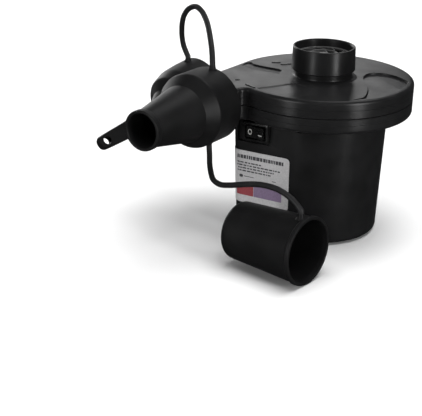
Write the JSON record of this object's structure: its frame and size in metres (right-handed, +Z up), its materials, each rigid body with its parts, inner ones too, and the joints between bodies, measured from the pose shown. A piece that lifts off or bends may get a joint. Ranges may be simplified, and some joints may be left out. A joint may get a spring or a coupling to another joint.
{
  "type": "electric air mattress pump",
  "caption": "Hand-held electric air pump: round blower on a tapered motor housing with rocker switch, inlet collar, side outlet and push-on nozzles on soft tethers.",
  "frame": {"origin": "middle of the base pad's underside, on the pump's own axis, where it stands on a table", "axes": "+Z up along the motor shaft to the inlet collar; -Y the way the outlet port points; +X to the right of the outlet, seen from its front"},
  "size_m": [0.1508, 0.1717, 0.1285],
  "materials": {
    "case_plastic": "fine satin black, moulded",
    "nozzle_plastic": "satin black, soft moulded",
    "switch_plastic": "semi-gloss black",
    "fan_plastic": "matt black",
    "tether_rubber": "matt soft black",
    "pad_rubber": "matt black",
    "label_film": "silver-grey printed film",
    "terminal_brass": "plain",
    "screw_steel": "zinc plated",
    "motor_steel": "plain pressed steel",
    "winding_copper": "enamelled copper",
    "magnet_ferrite": "dull sintered grey",
    "board_laminate": "green laminate",
    "end_plastic": "plain off-white",
    "lead_red_cover": "soft insulation"
  },
  "bodies": {
    "pump": {"base_pad": "pad_rubber", "motor_housing": "case_plastic", "cord_gland": "pad_rubber", "label_plate": "label_film", "switch_bezel": "switch_plastic", "switch_body": "switch_plastic", "switch_terminal_left": "terminal_brass", "switch_terminal_right": "terminal_brass", "volute_lower": "case_plastic", "top_cover": "case_plastic", "cover_screw_20": "screw_steel", "cover_screw_100": "screw_steel", "cover_screw_160": "screw_steel", "cover_screw_285": "screw_steel", "outlet_port": "case_plastic", "inlet_collar": "case_plastic", "inlet_grille": "case_plastic", "motor_can": "motor_steel", "motor_end_cap": "end_plastic", "bearing_lower": "motor_steel", "bearing_upper": "motor_steel", "magnet_right": "magnet_ferrite", "magnet_left": "magnet_ferrite", "brush_card": "board_laminate", "brush_right": "magnet_ferrite", "brush_left": "magnet_ferrite", "motor_plate": "motor_steel", "motor_screw_left": "screw_steel", "motor_screw_right": "screw_steel", "seal_ring": "pad_rubber", "rectifier_board": "board_laminate", "capacitor": "switch_plastic", "rectifier": "switch_plastic", "lead_red": "lead_red_cover", "lead_black": "switch_plastic"},
    "rotor": {"shaft": "motor_steel", "impeller": "fan_plastic", "impeller_nut": "terminal_brass", "armature": "motor_steel", "winding_lower": "winding_copper", "winding_upper": "winding_copper", "commutator": "winding_copper"},
    "rocker": {"rocker": "switch_plastic"},
    "medium_nozzle": {"nozzle_medium": "nozzle_plastic", "tether_upper": "tether_rubber", "tether_lower": "tether_rubber"},
    "small_nozzle": {"nozzle_small": "nozzle_plastic"},
    "large_nozzle": {"nozzle_large": "nozzle_plastic"}
  },
  "joints": [
    {"name": "rotor_spin", "type": "hinge", "parent": "pump", "child": "rotor", "pos_m": [0, 0, 0], "axis": [0, 0, 1], "continuous": true},
    {"name": "rocker_press", "type": "hinge", "parent": "pump", "child": "rocker", "pos_m": [-0.01811, -0.04007, 0.06401], "axis": [0.0033, -0.0309, 0.9995], "range_deg": [0, 18]},
    {"name": "nozzle_pull", "type": "slide", "parent": "pump", "child": "medium_nozzle", "axis": [0, -1, 0], "range_m": [0, 0.02]},
    {"name": "small_swing", "type": "hinge", "parent": "medium_nozzle", "child": "small_nozzle", "pos_m": [-0.0801, -0.0213, 0.0916], "axis": [0, 0, 1], "range_deg": [-8, 8]},
    {"name": "large_swing", "type": "hinge", "parent": "medium_nozzle", "child": "large_nozzle", "pos_m": [0.0348, -0.0788, 0.0404], "axis": [0, 0, 1], "range_deg": [-20, 20]}
  ]
}
